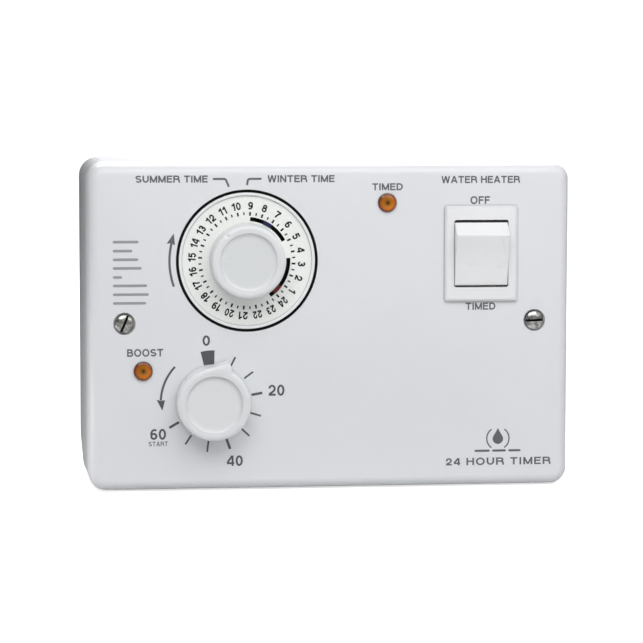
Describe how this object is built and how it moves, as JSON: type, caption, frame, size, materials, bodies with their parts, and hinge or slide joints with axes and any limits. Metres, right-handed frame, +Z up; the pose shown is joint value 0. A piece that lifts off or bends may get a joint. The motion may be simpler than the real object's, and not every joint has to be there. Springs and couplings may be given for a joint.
{
  "type": "programmable timer",
  "caption": "Wall-mounted 24-hour water-heater timer in a white moulded case, with a clock dial and tappets, a run-down boost knob, a rocker switch and amber indicators.",
  "frame": {"origin": "centre of the flat back face, on the wall plane", "axes": "+Z up, +X to the viewer's right, +Y into the wall; the front face looks along -Y"},
  "size_m": [0.1824, 0.069, 0.1228],
  "materials": {
    "case_white": "satin moulded",
    "case_grey": "satin moulded",
    "knob_white": "satin moulded",
    "dial_grey": "satin moulded, printed",
    "black_plastic": "moulded",
    "dark_plastic": "moulded",
    "natural_nylon": "moulded",
    "red_plastic": "moulded",
    "blue_plastic": "moulded",
    "brass": "machined",
    "steel": "nickel plated",
    "can_metal": "drawn can",
    "copper": "pressed strip",
    "circuit_board": "solder resist",
    "amber_lens": "moulded lens",
    "lamp_glass": "clear",
    "wire_brown": "insulated",
    "wire_blue": "insulated"
  },
  "bodies": {
    "base": {"back_box": "case_grey", "cover_inserts": "brass", "terminal_block": "dark_plastic", "terminal_clamps": "brass", "terminal_screws": "steel", "terminal_block_screws": "steel", "earth_terminal": "brass", "earth_screw": "steel", "cable_clamp": "natural_nylon", "cable_clamp_screws": "steel"},
    "cover": {"front_cover": "case_white", "cover_screws": "steel", "clock_housing": "dark_plastic", "clock_front_plate": "black_plastic", "clock_module_screws": "steel", "clock_motor": "can_metal", "clock_circuit_board": "circuit_board", "board_components": "black_plastic", "quartz_crystal": "can_metal", "backup_battery": "can_metal", "battery_clip": "brass", "clock_microswitch": "black_plastic", "boost_housing": "dark_plastic", "boost_front_plate": "black_plastic", "boost_module_screws": "steel", "boost_motor": "can_metal", "boost_microswitch": "black_plastic", "rocker_housing": "knob_white", "rocker_terminals": "brass", "timed_neon_lens": "amber_lens", "boost_neon_lens": "amber_lens", "neon_lamps": "lamp_glass", "neon_clips": "steel", "plug_block": "dark_plastic", "plug_blades": "brass", "plug_screws": "steel", "live_wires": "wire_brown", "neutral_wires": "wire_blue"},
    "dial": {"clock_dial": "dial_grey", "dial_knob": "knob_white", "clock_dial_wheel": "black_plastic", "friction_washer": "steel"},
    "on_tappet": {"on_tappet": "red_plastic"},
    "off_tappet": {"off_tappet": "blue_plastic"},
    "clock_idler": {"clock_idler_wheel": "natural_nylon"},
    "clock_pinion": {"clock_motor_pinion": "brass"},
    "clock_lever": {"clock_trip_lever": "natural_nylon"},
    "clock_plunger": {"clock_switch_plunger": "red_plastic"},
    "boost_knob": {"boost_knob": "knob_white", "boost_shaft": "steel", "boost_cam": "red_plastic", "boost_wheel": "natural_nylon"},
    "boost_pinion": {"boost_motor_pinion": "brass"},
    "boost_lever": {"boost_trip_lever": "natural_nylon"},
    "boost_plunger": {"boost_switch_plunger": "red_plastic"},
    "rocker": {"rocker": "knob_white", "rocker_plungers": "natural_nylon", "rocker_springs": "steel"},
    "seesaw": {"seesaw_contacts": "copper"}
  },
  "joints": [
    {"name": "cover_pull", "type": "slide", "parent": "base", "child": "cover", "axis": [0, -1, 0], "range_m": [0, 0.07]},
    {"name": "dial_turn", "type": "hinge", "parent": "cover", "child": "dial", "pos_m": [-0.0314, -0.05, 0.0247], "axis": [0, 1, 0], "continuous": true},
    {"name": "on_tappet_set", "type": "hinge", "parent": "dial", "child": "on_tappet", "pos_m": [-0.0314, -0.057, 0.0247], "axis": [0, 1, 0], "range_deg": [-40.7, 6.7]},
    {"name": "off_tappet_set", "type": "hinge", "parent": "dial", "child": "off_tappet", "pos_m": [-0.0314, -0.057, 0.0247], "axis": [0, 1, 0], "range_deg": [-18.8, 26.3]},
    {"name": "clock_idler_turn", "type": "hinge", "parent": "cover", "child": "clock_idler", "pos_m": [-0.01655, -0.046, 0.00985], "axis": [0, 1, 0], "continuous": true},
    {"name": "clock_pinion_turn", "type": "hinge", "parent": "cover", "child": "clock_pinion", "pos_m": [-0.03155, -0.045, 0.00985], "axis": [0, 1, 0], "continuous": true},
    {"name": "clock_lever_lift", "type": "hinge", "parent": "cover", "child": "clock_lever", "pos_m": [-0.0569, -0.0524, 0.0427], "axis": [0, -1, 0], "range_deg": [0, 2.8]},
    {"name": "clock_plunger_press", "type": "slide", "parent": "cover", "child": "clock_plunger", "axis": [0, 0, 1], "range_m": [0, 0.0006]},
    {"name": "boost_turn", "type": "hinge", "parent": "cover", "child": "boost_knob", "pos_m": [-0.0442, -0.05, -0.02775], "axis": [0, -1, 0], "continuous": true},
    {"name": "boost_pinion_turn", "type": "hinge", "parent": "cover", "child": "boost_pinion", "pos_m": [-0.0262, -0.0427, -0.02775], "axis": [0, -1, 0], "continuous": true},
    {"name": "boost_lever_lift", "type": "hinge", "parent": "cover", "child": "boost_lever", "pos_m": [-0.0592, -0.0476, -0.04015], "axis": [0, 1, 0], "range_deg": [0, 2.8]},
    {"name": "boost_plunger_press", "type": "slide", "parent": "cover", "child": "boost_plunger", "axis": [0, 0, -1], "range_m": [0, 0.00053]},
    {"name": "rocker_tilt", "type": "hinge", "parent": "cover", "child": "rocker", "pos_m": [0.05635, -0.056, 0.0269], "axis": [-1, 0, 0], "range_deg": [0, 30]},
    {"name": "seesaw_tilt", "type": "hinge", "parent": "cover", "child": "seesaw", "pos_m": [0.05635, -0.0444, 0.0269], "axis": [-1, 0, 0], "range_deg": [-16.2, 0]}
  ],
  "couplings": [
    {"joint": "clock_idler_turn", "follows": "dial_turn", "ratio": -6},
    {"joint": "clock_pinion_turn", "follows": "dial_turn", "ratio": 24},
    {"joint": "clock_lever_lift", "follows": "clock_plunger_press", "rad_per_m": 80},
    {"joint": "boost_pinion_turn", "follows": "boost_turn", "ratio": -5},
    {"joint": "boost_lever_lift", "follows": "boost_plunger_press", "rad_per_m": 90.909},
    {"joint": "seesaw_tilt", "follows": "rocker_tilt", "ratio": -0.53333}
  ]
}
